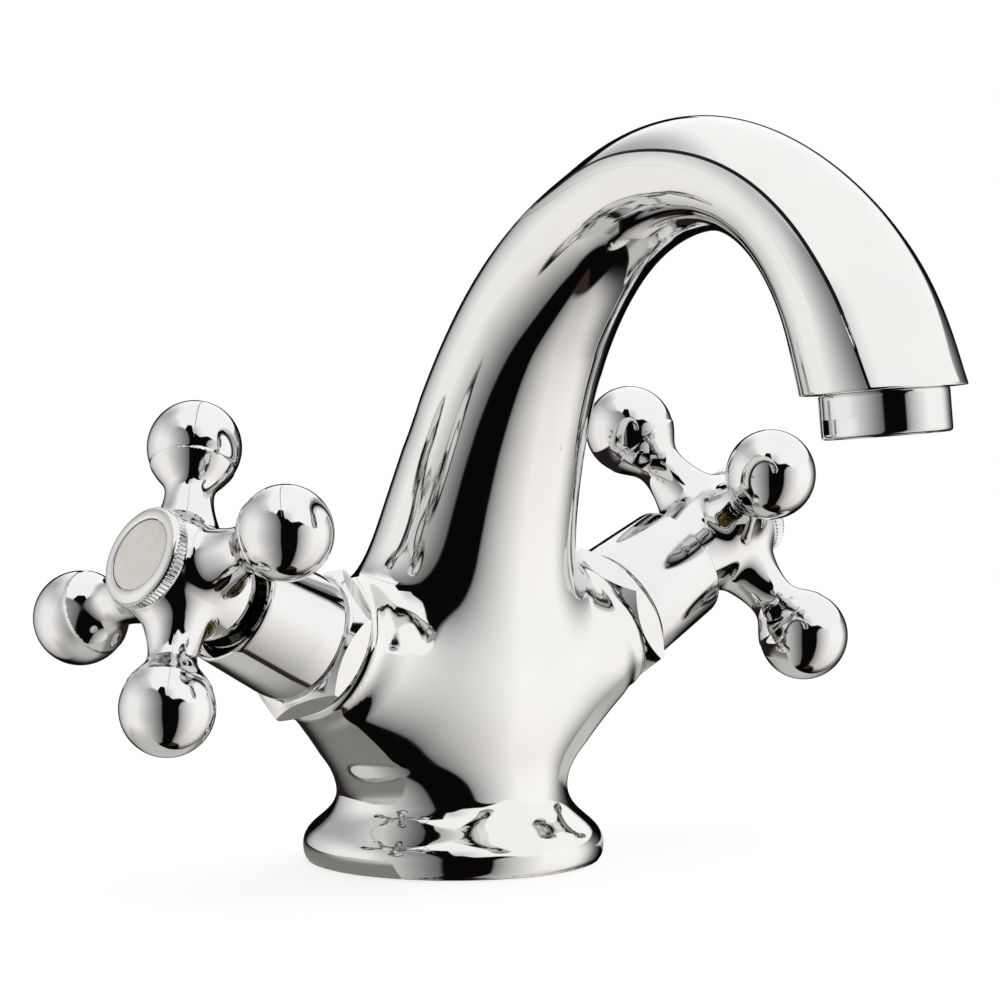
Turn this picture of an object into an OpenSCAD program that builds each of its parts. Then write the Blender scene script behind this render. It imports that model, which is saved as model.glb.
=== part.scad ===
// Two-handle basin mixer with a high arched spout and cross handles.
// +Z is up, the spout points along -Y, the hot valve is on -X and the cold one on +X.
// The origin is the centre of the foot's underside.

/* [Foot] */
// Radius of the foot at its widest
foot_r = 30.3; // [29.5:0.1:32]
// Radius of the waist above the foot
waist_r = 23.6; // [23.6:0.1:24.4]
// Height of the waist
waist_z = 15; // [14.5:0.1:15.5]

/* [Valves] */
// Sideways distance of the handle's centre from the middle
hub_x = 70.1; // [69.8:0.1:72]
// Height of the handle's centre
hub_z = 61.9; // [61.5:0.1:62.5]
// Distance of the valve axes in front of the foot's centre
arm_fwd = 2.6; // [2:0.1:3]
// Tilt of the valve axes above level
arm_tilt = 26.4; // [26:0.1:27]
// Radius of the body's arm at its end
arm_r = 14.6; // [14.4:0.1:15]
// Depth of the arm's end face below the handle's centre
arm_face = 38; // [38:0.1:38]

/* [Bonnet] */
// Width across the flats of the collar
collar_af = 28; // [27.6:0.1:29]
// Radius of the sleeve at its mouth
sleeve_mouth_r = 12.2; // [12.1:0.1:12.5]
// Radius of the sleeve at the collar
sleeve_base_r = 12.9; // [12.8:0.1:13.2]
// Turn of the hot collar's flats about its axis
hot_collar_turn = 55; // [55:1:55]
// Turn of the cold collar's flats about its axis
cold_collar_turn = 5; // [0:1:30]

/* [Handles] */
// Distance from the handle's centre to the centre of a ball
ball_reach = 28.4; // [27:0.1:29.5]
// Radius of the balls
ball_r = 9.3; // [9:0.1:9.5]
// Radius of the narrowest place of a handle arm
neck_r = 4.8; // [4.4:0.1:5.4]
// Turn of the hot cross when the valve is shut
hot_cross_turn = 23; // [23:1:23]
// Turn of the cold cross when the valve is shut
cold_cross_turn = 57; // [55:2:57]
// Number of ribs on the index ring's rim
reeds = 72; // [48:4:96]

/* [Outlet] */
// Reach of the aerator's centre in front of the foot's centre
outlet_reach = 121.3; // [121:0.1:121.6]
// Height of the outlet plane
outlet_z = 100.2; // [100:0.1:100.4]
// Tilt of the outlet from straight down
outlet_tilt = 6.8; // [6:0.1:7.5]
// Radius of the aerator's skirt
aerator_r = 12; // [11.8:0.1:12.1]
// Length of the aerator's skirt below the outlet
aerator_drop = 8.2; // [7:0.1:9]

/* [Connections] */
// Half the distance between the two inlet holes
inlet_x = 10; // [9.8:0.1:10.2]
// Tapped radius of the inlet holes
inlet_r = 4.5; // [4.4:0.1:4.6]
// Distance of the stud's hole behind the foot's centre
stud_y = 12; // [11:0.1:13]
// Tapped radius of the stud's hole
stud_r = 3.4; // [3.3:0.1:3.6]

/* [Hidden] */
$fn = 64;
chrome = [0.83, 0.83, 0.82];
brass = [0.78, 0.63, 0.33];
rubber = [0.10, 0.10, 0.11];
steel = [0.70, 0.71, 0.72];
ceramic = [0.93, 0.93, 0.90];
plastic = [0.90, 0.90, 0.88];
enamel = [0.91, 0.89, 0.85];

// Stations of the trunk and the spout:
// forward distance, height, half width, height of the hood over the centre line, depth below it, radius of the hood
stations = [
  [0, 10.5, 23, 23, 23, 24], [0.2, 18.5, 23.5, 23, 22, 24], [1.2, 32, 24.5, 22.5, 21, 26], [3.2, 46, 24, 20, 19.2, 27],
  [6, 61, 22.5, 17.8, 17.4, 26.5], [10.8, 76.7, 20, 15.9, 15.8, 25], [16.6, 92, 18.2, 13.8, 13.9, 22], [23.5, 105.7, 16.9, 12.8, 13, 21],
  [32.7, 117.7, 15.6, 12, 12.1, 19], [44.8, 128, 14.8, 11.5, 11.4, 17.8], [60, 135.4, 14.5, 12.1, 10.4, 16.8], [77, 137.5, 14.4, 12.4, 9.3, 16.2],
  [93.6, 133.1, 14.3, 12, 8.9, 17], [106.2, 124.4, 15.1, 12, 10, 19], [114.6, 113.4, 15.8, 12.9, 11.8, 20],
  [118.7, 104.4, 15.6, 14.6, 13.4, 19.5], [119.3, 100, 15.4, 16, 13.8, 19]];
ring_n = 24;
steps = 3;

function lerp_end(p, q) = [for (i = [0 : len(p) - 1]) 2 * p[i] - q[i]];
function station(i) = i < 0 ? lerp_end(stations[0], stations[1])
  : i > len(stations) - 1 ? lerp_end(stations[len(stations) - 1], stations[len(stations) - 2]) : stations[i];
// smooth curve through the stations, and its slope
function spline(i, t) = let(a = station(i - 1), b = station(i), c = station(i + 1), d = station(i + 2))
  0.5 * (2 * b + (c - a) * t + (2 * a - 5 * b + 4 * c - d) * t * t + (3 * b - a - 3 * c + d) * t * t * t);
function slope(i, t) = let(a = station(i - 1), b = station(i), c = station(i + 1), d = station(i + 2))
  0.5 * ((c - a) + 2 * (2 * a - 5 * b + 4 * c - d) * t + 3 * (3 * b - a - 3 * c + d) * t * t);
function unit2(v) = [v[0], v[1]] / sqrt(v[0] * v[0] + v[1] * v[1]);
// distance from the centre line to the outline in direction f, measured from the top:
// a shallow hood above, which meets an oval in an arris on each side
function oval(a, b, f) = 1 / sqrt(pow(sin(f) / a, 2) + pow(cos(f) / b, 2));
function hood(q, f) = (q[3] - q[5]) * cos(f) + sqrt(max(0, q[5] * q[5] - pow((q[3] - q[5]) * sin(f), 2)));
function outline(q, f) = cos(f) < -0.001 ? oval(q[2], q[4], f) : min(hood(q, f), oval(q[2], q[2] + 2.5, f));
function ring_point(q, n, r, f, shift) = [r * sin(f), -(q[0] + n[0] * (r * cos(f) + shift)), q[1] + n[1] * (r * cos(f) + shift)];
function outer_ring(q, s) = let(t = unit2(s), n = [-t[1], t[0]])
  [for (k = [0 : ring_n - 1]) let(f = 360 * k / ring_n) ring_point(q, n, outline(q, f), f, 0)];
function way_ring(q, s) = let(t = unit2(s), n = [-t[1], t[0]], m = 16)
  [for (k = [0 : m - 1]) ring_point(q, n, min(q[0] > 50 ? 7.5 : 10.5, (q[3] + q[4]) / 2 - 4), 360 * k / m, (q[3] - q[4]) / 2)];
function tube_faces(rings, m) = concat(
  [[for (k = [m - 1 : -1 : 0]) k]],
  [for (j = [0 : rings - 2]) for (k = [0 : m - 1]) [j * m + k, (j + 1) * m + (k + 1) % m, (j + 1) * m + k]],
  [for (j = [0 : rings - 2]) for (k = [0 : m - 1]) [j * m + k, j * m + (k + 1) % m, (j + 1) * m + (k + 1) % m]],
  [[for (k = [0 : m - 1]) (rings - 1) * m + k]]);

module trunk_and_spout() {
  last = len(stations) - 2;
  rings = concat([for (i = [0 : last]) for (t = [0 : steps - 1]) outer_ring(spline(i, t / steps), slope(i, t / steps))],
    [outer_ring(spline(last, 1), slope(last, 1))]);
  polyhedron(points = [for (r = rings) for (p = r) p], faces = tube_faces(len(rings), ring_n), convexity = 6);
}
module waterway() {
  first = 3; last = len(stations) - 3;
  rings = concat([for (i = [first : last]) for (t = [0, 0.5]) way_ring(spline(i, t), slope(i, t))],
    [way_ring(spline(last, 1), slope(last, 1))]);
  polyhedron(points = [for (r = rings) for (p = r) p], faces = tube_faces(len(rings), 16), convexity = 6);
}

// frame of one valve: side -1 is hot, +1 is cold; +Z runs out along the axis, z = 0 is the plane of the balls
module valve(side) {
  translate([side * hub_x, -arm_fwd, hub_z]) rotate([0, side * (90 - arm_tilt), 0]) children();
}
// frame of the outlet: z = 0 is the outlet plane, -Z is the way the water leaves
module outlet() {
  translate([0, -outlet_reach, outlet_z]) rotate([-outlet_tilt, 0, 0]) children();
}
module tube(z0, z1, ro, ri) {
  translate([0, 0, z0]) difference() {
    cylinder(r = ro, h = z1 - z0);
    translate([0, 0, -1]) cylinder(r = ri, h = z1 - z0 + 2);
  }
}
module rod(z0, z1, r) { translate([0, 0, z0]) cylinder(r = r, h = z1 - z0); }

// ---- body ----
module foot() {
  rotate_extrude($fn = 96) polygon([[0, 0], [foot_r - 1.2, 0], [foot_r - 0.3, 0.9], [foot_r, 2.6], [foot_r - 0.1, 4.4],
    [foot_r - 0.8, 5.8], [foot_r - 2.4, 7.8], [foot_r - 4.4, 9.8], [waist_r + 0.8, 11.8], [waist_r, 13.9], [waist_r, waist_z + 1],
    [waist_r - 2, waist_z + 4], [0, waist_z + 4]]);
}
module arm(side) {
  hull() {
    translate([0, 0, waist_z - 1]) cylinder(r = waist_r - 0.1, h = 1.2, $fn = 32);
    valve(side) {
      translate([0, 0, -arm_face - 0.5]) cylinder(r1 = arm_r - 0.6, r2 = arm_r - 1.4, h = 0.5, $fn = 32);
      translate([0, 0, -arm_face - 3.5]) cylinder(r = arm_r, h = 2, $fn = 32);
    }
    translate([0, -2, 34]) sphere(r = 18, $fn = 20);
  }
}
module body() {
  color(chrome) difference() {
    union() {
      foot();
      trunk_and_spout();
      arm(-1);
      arm(1);
    }
    waterway();
    for (s = [-1, 1]) {
      valve(s) {
        rod(-arm_face - 1.6, -arm_face + 4, 12);
        rod(-48, -arm_face, 10.45);
        rod(-59.4, -47, 9.4);
        rod(-68, -59, 3.6);
      }
      translate([s * inlet_x, -arm_fwd, -1]) cylinder(r = inlet_r, h = 15);
      translate([s * inlet_x, -arm_fwd, 13]) cylinder(r = 4, h = 20);
    }
    translate([-20, -arm_fwd, 47.2]) rotate([0, 90, 0]) cylinder(r = 3.2, h = 40);
    translate([0, stud_y, -1]) cylinder(r = stud_r, h = 15);
    translate([0, 0, -1]) difference() {
      cylinder(r = 27.5, h = 3.2);
      translate([0, 0, -1]) cylinder(r = 24, h = 6);
    }
    outlet() {
      rod(-3, 6, 11.55);
      rod(5, 7.8, 10.6);
    }
  }
}
module base_seal() { color(rubber) tube(0, 2.1, 27.4, 24.1); }

// ---- aerator ----
module aerator_housing() {
  color(chrome) outlet() difference() {
    union() {
      rod(-0.1, 5.6, 11.5);
      translate([0, 0, -aerator_drop]) rotate_extrude() polygon([[0, 0], [aerator_r - 0.6, 0], [aerator_r, 0.6],
        [aerator_r, aerator_drop - 0.35], [aerator_r - 0.3, aerator_drop - 0.05], [0, aerator_drop - 0.05]]);
    }
    rod(-6.4, 7, 10.4);
    rod(-20, 7, 9.6);
    // two flats for the wrench
    for (a = [-3, 177]) rotate([0, 0, a]) translate([aerator_r - 1, -4.6, -aerator_drop + 1]) cube([3, 9.2, 2.6]);
  }
}
module aerator_insert() {
  color(plastic) outlet() difference() {
    union() {
      rod(-6.3, 5.5, 10.3);
      rod(-7.3, -6, 9.4);
    }
    for (a = [0 : 45 : 315]) rotate([0, 0, a]) translate([6.4, 0, -8]) cylinder(r = 1.6, h = 15, $fn = 16);
    translate([0, 0, -8]) cylinder(r = 2, h = 15, $fn = 16);
  }
}
module aerator_screen() {
  color(steel) outlet() difference() {
    rod(-7.9, -7.4, 9.4);
    for (a = [-6 : 2 : 6]) translate([a - 0.35, -6, -9]) cube([0.7, 12, 3]);
  }
}
module aerator_seal() { color(rubber) outlet() tube(5.65, 7.7, 10.5, 8.6); }

// ---- bonnet ----
module bonnet(turn) {
  cr = collar_af / 2 / cos(30);
  color(chrome) rotate([0, 0, turn]) difference() {
    union() {
      intersection() {
        translate([0, 0, -arm_face + 0.05]) cylinder(r = cr, h = 5.6, $fn = 6);
        rotate_extrude() polygon([[0, -arm_face + 0.05], [collar_af / 2 - 0.1, -arm_face + 0.05], [cr, -arm_face + 2.1],
          [cr, -arm_face + 3.3], [collar_af / 2 - 0.4, -arm_face + 5.65], [0, -arm_face + 5.65]]);
      }
      rotate_extrude() polygon([[0, -33.5], [sleeve_base_r, -33.5], [sleeve_base_r - 0.1, -27], [sleeve_mouth_r + 0.05, -14],
        [sleeve_mouth_r, -13.3], [sleeve_mouth_r - 0.35, -12.8], [0, -12.8]]);
    }
    rod(-40, -31, 12.05);
    rod(-32, -10, 10.9);
    rod(-15.5, -10, 11.3);
  }
}
module bonnet_ring() { color(plastic) tube(-32.9, -31.05, 11.95, 10.95); }

// ---- headwork ----
module valve_body() {
  color(brass) difference() {
    union() {
      rod(-arm_face + 0.05, -33, 12);
      translate([0, 0, -34]) cylinder(r = 10.1, h = 5.5, $fn = 6);
      rod(-29, -22, 6.6);
      rod(-48, -37, 10.4);
      rod(-58.8, -47, 8.6);
    }
    rod(-60, -21, 4.53);
    rod(-60, -49.9, 7.6);
    for (a = [0, 90]) rotate([0, 0, a]) translate([-12, -3, -56.4]) cube([24, 6, 5]);
  }
}
module body_oring() { color(rubber) rotate_extrude() translate([11.2, -38.75]) circle(r = 0.68, $fn = 24); }
module spindle() {
  color(brass) difference() {
    union() {
      // splined end
      translate([0, 0, -21]) linear_extrude(height = 19) polygon([for (k = [0 : 39]) let(a = 9 * k, r = k % 2 == 0 ? 3.95 : 3.55) [r * cos(a), r * sin(a)]]);
      rod(-50.5, -20.4, 4.5);
      rod(-51.8, -49.95, 7.3);
      // the two dogs that drive the disc
      for (a = [0, 180]) rotate([0, 0, a]) translate([4.9, -1.2, -53.2]) cube([2.1, 2.4, 2]);
    }
    // grooves for the O-rings and the circlip
    for (z = [-42, -36]) translate([0, 0, z]) difference() { cylinder(r = 6, h = 2.2); translate([0, 0, -1]) cylinder(r = 3.1, h = 5); }
    translate([0, 0, -21.9]) difference() { cylinder(r = 6, h = 1.1); translate([0, 0, -1]) cylinder(r = 3.6, h = 3); }
    rod(-13, 0, 2.05);
  }
}
module spindle_orings() {
  color(rubber) for (z = [-42, -36]) translate([0, 0, z + 1.1]) rotate_extrude() translate([3.82, 0]) circle(r = 0.68, $fn = 20);
}
module circlip() {
  color(steel) difference() {
    tube(-21.75, -20.95, 6.1, 3.65);
    translate([0, -1.4, -23]) cube([8, 2.8, 4]);
  }
}
module moving_disc() {
  color(ceramic) difference() {
    rod(-54.35, -51.85, 7.3);
    for (a = [90, 270]) rotate([0, 0, a]) translate([3.7, 0, -56]) cylinder(r = 1.9, h = 6, $fn = 32);
    for (a = [0, 180]) rotate([0, 0, a]) translate([4.8, -1.3, -53.3]) cube([4, 2.6, 3]);
  }
}
module fixed_disc() {
  color(ceramic) difference() {
    rod(-57.35, -54.4, 7.4);
    for (a = [0, 180]) rotate([0, 0, a]) translate([3.7, 0, -59]) cylinder(r = 1.9, h = 6, $fn = 32);
  }
}
module seat_seal() { color(rubber) tube(-59.35, -57.4, 7.4, 5.8); }

// ---- handle ----
module handle_arm() {
  rotate([0, 90, 0]) rotate_extrude() polygon([[0, 4], [7.4, 4], [7.2, 7], [6.6, 9.6], [5.9, 11.6], [5.3, 13.6], [neck_r + 0.1, 15.6],
    [neck_r, 17.4], [neck_r + 0.25, 19], [neck_r + 1, 20.8], [neck_r + 2, 22.2], [neck_r + 2.6, 23.4], [0, 26]]);
  translate([ball_reach, 0, 0]) sphere(r = ball_r);
}
module handle(turn) {
  color(chrome) difference() {
    union() {
      rotate_extrude() polygon([[0, -15.5], [9.2, -15.5], [9.4, -15.1], [9.4, -11.5], [10, -8], [10.8, -4.5], [11.2, 0],
        [11, 3.4], [10.5, 5.6], [9.9, 7.4], [0, 7.4]]);
      rotate([0, 0, turn]) for (a = [0 : 90 : 270]) rotate([0, 0, a]) handle_arm();
    }
    rod(-16, -1.95, 4.05);
    rod(-16, -13.5, 7.8);
    rod(-3, 9, 2.6);
    rod(0.2, 9, 7.05);
  }
}
module handle_screw() {
  color(steel) difference() {
    union() {
      rod(0.25, 2.9, 4.2);
      rod(-11, 1, 2);
    }
    translate([0, 0, 1]) cylinder(r = 2.3, h = 3, $fn = 6);
  }
}
module index_ring() {
  color(chrome) difference() {
    union() {
      rod(3.6, 8, 7);
      rod(7.45, 8, 9.9);
      translate([0, 0, 7.9]) linear_extrude(height = 2.3) polygon([for (k = [0 : 2 * reeds - 1]) let(a = 180 * k / reeds, r = k % 2 == 0 ? 10.2 : 9.95) [r * cos(a), r * sin(a)]]);
      rotate_extrude() polygon([[0, 10], [9.9, 10], [9.8, 10.4], [9.2, 11], [8, 11.1], [0, 11.1]]);
    }
    rod(9.7, 12, 7.4);
    rod(3, 6, 5.6);
  }
}
module index_disc() {
  color(enamel) rotate_extrude() polygon([[0, 9.75], [7.3, 9.75], [7.3, 10.7], [7, 10.9], [4, 11], [0, 11.05]]);
}

body();
base_seal();
aerator_housing();
aerator_insert();
aerator_screen();
aerator_seal();
valve(-1) bonnet(hot_collar_turn);  // hot_bonnet
valve(-1) bonnet_ring();  // hot_bonnet_ring
valve(-1) valve_body();  // hot_valve_body
valve(-1) body_oring();  // hot_body_oring
valve(-1) spindle();  // hot_spindle
valve(-1) spindle_orings();  // hot_spindle_orings
valve(-1) circlip();  // hot_circlip
valve(-1) moving_disc();  // hot_moving_disc
valve(-1) fixed_disc();  // hot_fixed_disc
valve(-1) seat_seal();  // hot_seat_seal
valve(-1) handle(hot_cross_turn);  // hot_handle
valve(-1) handle_screw();  // hot_handle_screw
valve(-1) index_ring();  // hot_index_ring
valve(-1) index_disc();  // hot_index_disc
valve(1) bonnet(cold_collar_turn);  // cold_bonnet
valve(1) bonnet_ring();  // cold_bonnet_ring
valve(1) valve_body();  // cold_valve_body
valve(1) body_oring();  // cold_body_oring
valve(1) spindle();  // cold_spindle
valve(1) spindle_orings();  // cold_spindle_orings
valve(1) circlip();  // cold_circlip
valve(1) moving_disc();  // cold_moving_disc
valve(1) fixed_disc();  // cold_fixed_disc
valve(1) seat_seal();  // cold_seat_seal
valve(1) handle(cold_cross_turn);  // cold_handle
valve(1) handle_screw();  // cold_handle_screw
valve(1) index_ring();  // cold_index_ring
valve(1) index_disc();  // cold_index_disc
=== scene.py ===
import bpy, math
import numpy as np
from mathutils import Matrix, Vector


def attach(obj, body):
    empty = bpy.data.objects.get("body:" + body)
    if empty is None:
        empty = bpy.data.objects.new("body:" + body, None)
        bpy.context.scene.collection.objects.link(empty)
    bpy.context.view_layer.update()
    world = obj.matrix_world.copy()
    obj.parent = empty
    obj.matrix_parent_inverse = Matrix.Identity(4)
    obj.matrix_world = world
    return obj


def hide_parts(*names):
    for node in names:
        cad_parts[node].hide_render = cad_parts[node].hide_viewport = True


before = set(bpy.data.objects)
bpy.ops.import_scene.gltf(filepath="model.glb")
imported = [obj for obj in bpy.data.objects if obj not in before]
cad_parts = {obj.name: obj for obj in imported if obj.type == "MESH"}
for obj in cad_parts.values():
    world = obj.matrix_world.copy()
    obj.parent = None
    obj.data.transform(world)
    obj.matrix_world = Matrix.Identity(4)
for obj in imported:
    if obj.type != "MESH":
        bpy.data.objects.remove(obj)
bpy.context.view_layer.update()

MM = 0.001
scene = bpy.context.scene

# ------------------------------------------------------------------ camera
cam_data = bpy.data.cameras.new("camera")
cam = bpy.data.objects.new("camera", cam_data)
scene.collection.objects.link(cam)
scene.camera = cam
cam_data.sensor_fit = "HORIZONTAL"
cam_data.sensor_width = 36.0
cam_data.lens = 170.13
cam_data.clip_start, cam_data.clip_end = 0.01, 100.0
RIGHT = Vector((0.7592, -0.6509, 0.0)).normalized()
BACK = Vector((-0.6484, -0.7564, 0.0855)).normalized()
UP = BACK.cross(RIGHT)
cam.matrix_world = Matrix(((RIGHT.x, UP.x, BACK.x, -0.60875), (RIGHT.y, UP.y, BACK.y, -0.72458), (RIGHT.z, UP.z, BACK.z, 0.15364), (0, 0, 0, 1)))
scene.view_settings.view_transform = "Standard"
scene.view_settings.look = "None"
scene.view_settings.exposure = 0.0
scene.view_settings.gamma = 1.0


# ------------------------------------------------------------------ node helpers
class Tree:
    """Short names for the nodes that the materials and the surroundings are made of."""

    def __init__(self, tree):
        self.t = tree

    def node(self, kind, **values):
        n = self.t.nodes.new(kind)
        for k, v in values.items():
            setattr(n, k, v)
        return n

    def put(self, socket, value):
        if isinstance(value, bpy.types.NodeSocket):
            self.t.links.new(value, socket)
        else:
            socket.default_value = value

    def math(self, op, *args, clamp=False):
        n = self.node("ShaderNodeMath", operation=op, use_clamp=clamp)
        for i, a in enumerate(args):
            self.put(n.inputs[i], a)
        return n.outputs[0]

    def add(self, a, b): return self.math("ADD", a, b)
    def sub(self, a, b): return self.math("SUBTRACT", a, b)
    def mul(self, a, b): return self.math("MULTIPLY", a, b)
    def maxi(self, a, b): return self.math("MAXIMUM", a, b)
    def mini(self, a, b): return self.math("MINIMUM", a, b)

    def dot(self, v, const):
        n = self.node("ShaderNodeVectorMath", operation="DOT_PRODUCT")
        self.put(n.inputs[0], v)
        n.inputs[1].default_value = const
        return n.outputs["Value"]

    def smooth(self, x, a, b):
        """0 at a, 1 at b, smooth between them."""
        n = self.node("ShaderNodeMapRange", interpolation_type="SMOOTHSTEP", clamp=True)
        self.put(n.inputs["Value"], x)
        n.inputs["From Min"].default_value, n.inputs["From Max"].default_value = (a, b) if a < b else (b, a)
        n.inputs["To Min"].default_value, n.inputs["To Max"].default_value = (0.0, 1.0) if a < b else (1.0, 0.0)
        return n.outputs[0]

    def mix(self, f, a, b):
        n = self.node("ShaderNodeMix", data_type="RGBA", clamp_factor=True)
        self.put(n.inputs[0], f)
        self.put(n.inputs[6], a if isinstance(a, bpy.types.NodeSocket) else (*a, 1.0))
        self.put(n.inputs[7], b if isinstance(b, bpy.types.NodeSocket) else (*b, 1.0))
        return n.outputs[2]

    def noise(self, vec, scale, detail=3.0, rough=0.5):
        n = self.node("ShaderNodeTexNoise")
        self.put(n.inputs["Vector"], vec)
        n.inputs["Scale"].default_value = scale
        n.inputs["Detail"].default_value = detail
        n.inputs["Roughness"].default_value = rough
        return n.outputs["Fac"]

    def bump(self, height, strength, distance):
        n = self.node("ShaderNodeBump")
        n.inputs["Strength"].default_value = strength
        n.inputs["Distance"].default_value = distance
        self.put(n.inputs["Height"], height)
        return n.outputs[0]


# ------------------------------------------------------------------ surroundings: a light tent with a gap at the front
world = bpy.data.worlds.new("studio")
scene.world = world
world.use_nodes = True
W = Tree(world.node_tree)
W.t.nodes.clear()
direction = W.node("ShaderNodeTexCoord").outputs["Generated"]
FRONT = (-0.6509, -0.7592, 0.0)
SIDE = (0.7592, -0.6509, 0.0)
turn = W.mul(W.math("ARCTAN2", W.dot(direction, SIDE), W.dot(direction, FRONT)), 57.29578)
lift = W.mul(W.math("ARCSINE", W.dot(direction, (0.0, 0.0, 1.0))), 57.29578)


def panel(c, half, radius, soft, height=None, blur=None):
    """How far a direction is inside a rounded panel, 0 to 1; blur widens its edge up to five times."""
    qx = W.add(W.math("ABSOLUTE", W.sub(turn, c[0])), radius - half[0])
    qy = W.add(W.math("ABSOLUTE", W.sub(lift if height is None else height, c[1])), radius - half[1])
    out = W.math("SQRT", W.add(W.math("POWER", W.maxi(qx, 0.0), 2.0), W.math("POWER", W.maxi(qy, 0.0), 2.0)))
    d = W.sub(W.add(out, W.mini(W.maxi(qx, qy), 0.0)), radius)
    if blur is not None:
        d = W.math("DIVIDE", d, W.add(W.mul(blur, 4.0), 1.0))
    return W.smooth(d, soft, -soft)


def rise(x, a, b, power):
    """0 at a, 1 at b, quick at first."""
    n = W.node("ShaderNodeMapRange", clamp=True)
    W.put(n.inputs["Value"], x)
    for k, v in (("From Min", min(a, b)), ("From Max", max(a, b)), ("To Min", 0.0 if a < b else 1.0), ("To Max", 1.0 if a < b else 0.0)):
        n.inputs[k].default_value = v
    return W.math("POWER", n.outputs[0], power)


left_soft = W.mul(W.smooth(turn, -45.0, -80.0), W.smooth(lift, 0.0, 30.0))
left = panel((-82.5, -12.5), (74.5, 63.5), 34.0, 3.0, None, left_soft)
left_v = W.mul(W.mul(rise(turn, -6.0, -72.0, 1.1), rise(turn, -158.0, -100.0, 0.62)), W.mul(rise(lift, -77.0, -30.0, 0.5), rise(lift, 54.0, 16.0, 0.5)))
left_v = W.add(W.mul(left_v, 0.81), 0.10)
right_lift = W.sub(lift, W.mul(W.sub(turn, 65.0), 0.07))
right = panel((97.0, -26.5), (66.0, 48.5), 15.0, 2.2, right_lift)
right_v = W.mul(rise(turn, 29.0, 75.0, 0.56), W.sub(1.0, W.mul(W.smooth(turn, 108.0, 146.0), 0.90)))
sink = W.math("POWER", W.mul(W.maxi(W.sub(-5.0, lift), 0.0), 1 / 90.0), 2.0)
right_v = W.mul(right_v, W.sub(1.0, W.mul(sink, 0.92)))
# the white sheet overhead: low behind the left panel, high over the gap, lower again on the right
low_edge = W.add(W.mul(W.smooth(turn, -34.0, -24.0), 40.0), 20.0)
low_edge = W.sub(low_edge, W.mul(W.smooth(turn, -7.0, 3.0), 21.0))
low_edge = W.sub(low_edge, W.mul(W.smooth(turn, 6.0, 20.0), 9.0))
low_edge = W.sub(low_edge, W.mul(W.smooth(turn, 36.0, 66.0), 16.0))
over = W.smooth(W.sub(lift, low_edge), -1.2, 1.2)
over_v = W.mul(W.mul(W.smooth(turn, -12.0, 2.0), W.smooth(turn, 34.0, 6.0)), W.smooth(lift, 64.0, 46.0))
over_v = W.sub(0.97, W.mul(over_v, 0.30))
behind = W.mul(W.smooth(W.math("ABSOLUTE", turn), 142.0, 160.0), W.smooth(lift, 19.0, 9.0))

light = W.mul(over, over_v)
light = W.maxi(light, W.mul(right, right_v))
light = W.add(W.mul(light, W.sub(1.0, left)), W.mul(left, left_v))
light = W.mul(light, W.sub(1.0, W.mul(behind, 0.96)))
under = W.mul(W.smooth(lift, -25.0, -50.0), W.mul(W.smooth(turn, 30.0, 42.0), W.smooth(turn, 108.0, 92.0)))
gap = W.mix(under, (0.0026, 0.0022, 0.002), (0.032, 0.021, 0.017))
tone = W.mix(W.smooth(lift, -50.0, 40.0), (1.0, 0.975, 0.955), (1.0, 0.995, 0.985))
lit = W.node("ShaderNodeVectorMath", operation="SCALE")
W.put(lit.inputs[0], tone)
W.put(lit.inputs["Scale"], light)
colour = W.mix(W.smooth(light, 0.0, 0.12), gap, lit.outputs[0])
paths = W.node("ShaderNodeLightPath")
seen = W.mix(paths.outputs["Is Camera Ray"], colour, (1.0, 1.0, 1.0))
back = W.node("ShaderNodeBackground")
W.put(back.inputs["Color"], seen)
# plating gives back two thirds of the light, so the tent is that much brighter in it
W.put(back.inputs["Strength"], W.add(W.mul(paths.outputs["Is Glossy Ray"], 0.324), 1.0))
W.t.links.new(back.outputs[0], W.node("ShaderNodeOutputWorld").inputs["Surface"])


# ------------------------------------------------------------------ materials
def material(name):
    m = bpy.data.materials.new(name)
    m.use_nodes = True
    t = Tree(m.node_tree)
    t.t.nodes.clear()
    p = t.node("ShaderNodeBsdfPrincipled")
    t.t.links.new(p.outputs[0], t.node("ShaderNodeOutputMaterial").inputs["Surface"])
    return m, t, p, t.node("ShaderNodeTexCoord").outputs["Object"]


def chrome(name, base, rough, ripple=0.0, tint=0.012):
    """Polished plating: a faint cloud in its colour, fine wipe marks in its gloss and a trace of the casting's waves."""
    m, t, p, co = material(name)
    p.inputs["Metallic"].default_value = 1.0
    cloud = t.noise(co, 55.0, 3.0, 0.55)
    t.put(p.inputs["Base Color"], t.mix(t.smooth(cloud, 0.3, 0.7), tuple(v - tint for v in base), tuple(min(1.0, v + tint) for v in base)))
    wipe = t.noise(co, 900.0, 4.0, 0.7)
    patch = t.noise(co, 90.0, 2.0, 0.5)
    t.put(p.inputs["Roughness"], t.add(rough, t.mul(t.add(t.mul(wipe, 0.5), patch), rough * 0.45)))
    if ripple:
        t.put(p.inputs["Normal"], t.bump(t.noise(co, 130.0, 1.0, 0.4), ripple, 0.0002))
    return m


def plain(name, c1, c2, rough, scale, strength=0.1, metallic=0.0, fine=4.0):
    m, t, p, co = material(name)
    p.inputs["Metallic"].default_value = metallic
    n = t.noise(co, scale, fine, 0.6)
    t.put(p.inputs["Base Color"], t.mix(t.smooth(n, 0.3, 0.7), c1, c2))
    t.put(p.inputs["Roughness"], t.add(rough, t.mul(t.noise(co, scale * 1.7, 3.0), 0.12)))
    t.put(p.inputs["Normal"], t.bump(n, strength, 0.0002))
    return m


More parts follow.
